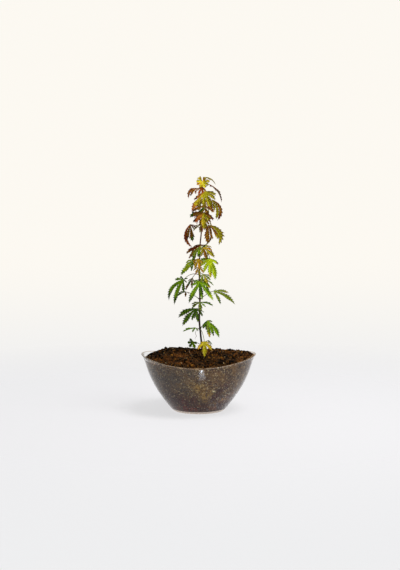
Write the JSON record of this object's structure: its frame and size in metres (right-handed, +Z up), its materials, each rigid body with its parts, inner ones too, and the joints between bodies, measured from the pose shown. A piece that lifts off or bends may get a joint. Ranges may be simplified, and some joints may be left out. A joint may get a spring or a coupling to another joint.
{
  "type": "potted japanese maple seedling",
  "caption": "Slender japanese maple seedling with drooping, deeply cut autumn leaves, growing in a round clear glass bowl of dark potting soil.",
  "frame": {"origin": "middle of the bowl's flat underside, on the surface that it stands on", "axes": "+Z up along the stem, +X to the bowl's right-hand raised lip, -Y towards the side that it is mostly looked at from"},
  "size_m": [0.171, 0.161, 0.3472],
  "materials": {
    "glass": "clear, thin blown glass, polished",
    "soil": "moist crumbly potting mix of peat and bark",
    "bark": "thin young bark, slightly ridged",
    "leaf_green": "satin leaf, mid to dark green",
    "leaf_lime": "satin leaf, bright yellow-green",
    "leaf_olive": "satin leaf, olive turning amber",
    "leaf_red": "satin leaf, turned red, bronze or maroon"
  },
  "bodies": {
    "root": {"glass_bowl": "glass", "leaf_foot_back": "leaf_green", "leaf_foot_left": "leaf_green", "leaf_tier10_back": "leaf_olive", "leaf_tier10_left": "leaf_red", "leaf_tier10_right": "leaf_red", "leaf_tier11_back": "leaf_olive", "leaf_tier11_front": "leaf_olive", "leaf_tier11_low": "leaf_red", "leaf_tier12_back": "leaf_olive", "leaf_tier12_front": "leaf_olive", "leaf_tier12_low": "leaf_red", "leaf_tier12_right": "leaf_olive", "leaf_tier13_front": "leaf_red", "leaf_tier13_left": "leaf_red", "leaf_tier13_right": "leaf_red", "leaf_tier2_back": "leaf_green", "leaf_tier2_left": "leaf_green", "leaf_tier2_right": "leaf_green", "leaf_tier2_yellow": "leaf_lime", "leaf_tier3_back": "leaf_green", "leaf_tier3_left": "leaf_green", "leaf_tier4_front": "leaf_olive", "leaf_tier5_left": "leaf_red", "leaf_tier5_right": "leaf_green", "leaf_tier6_back": "leaf_green", "leaf_tier6_front": "leaf_green", "leaf_tier6_left": "leaf_red", "leaf_tier7_left": "leaf_green", "leaf_tier7_low": "leaf_green", "leaf_tier7_mid": "leaf_green", "leaf_tier7_right": "leaf_olive", "leaf_tier8_back": "leaf_lime", "leaf_tier8_front": "leaf_olive", "leaf_tier8_left": "leaf_green", "leaf_tier8_low": "leaf_olive", "leaf_tier8_upper": "leaf_green", "leaf_tier9_back": "leaf_olive", "leaf_tier9_front": "leaf_green", "leaf_tier9_left": "leaf_red", "leaf_tier9_low": "leaf_red", "leaf_tier9_right": "leaf_lime", "leaf_tip_back": "leaf_olive", "leaf_tip_front": "leaf_lime", "soil": "soil", "stem": "bark"}
  },
  "joints": []
}
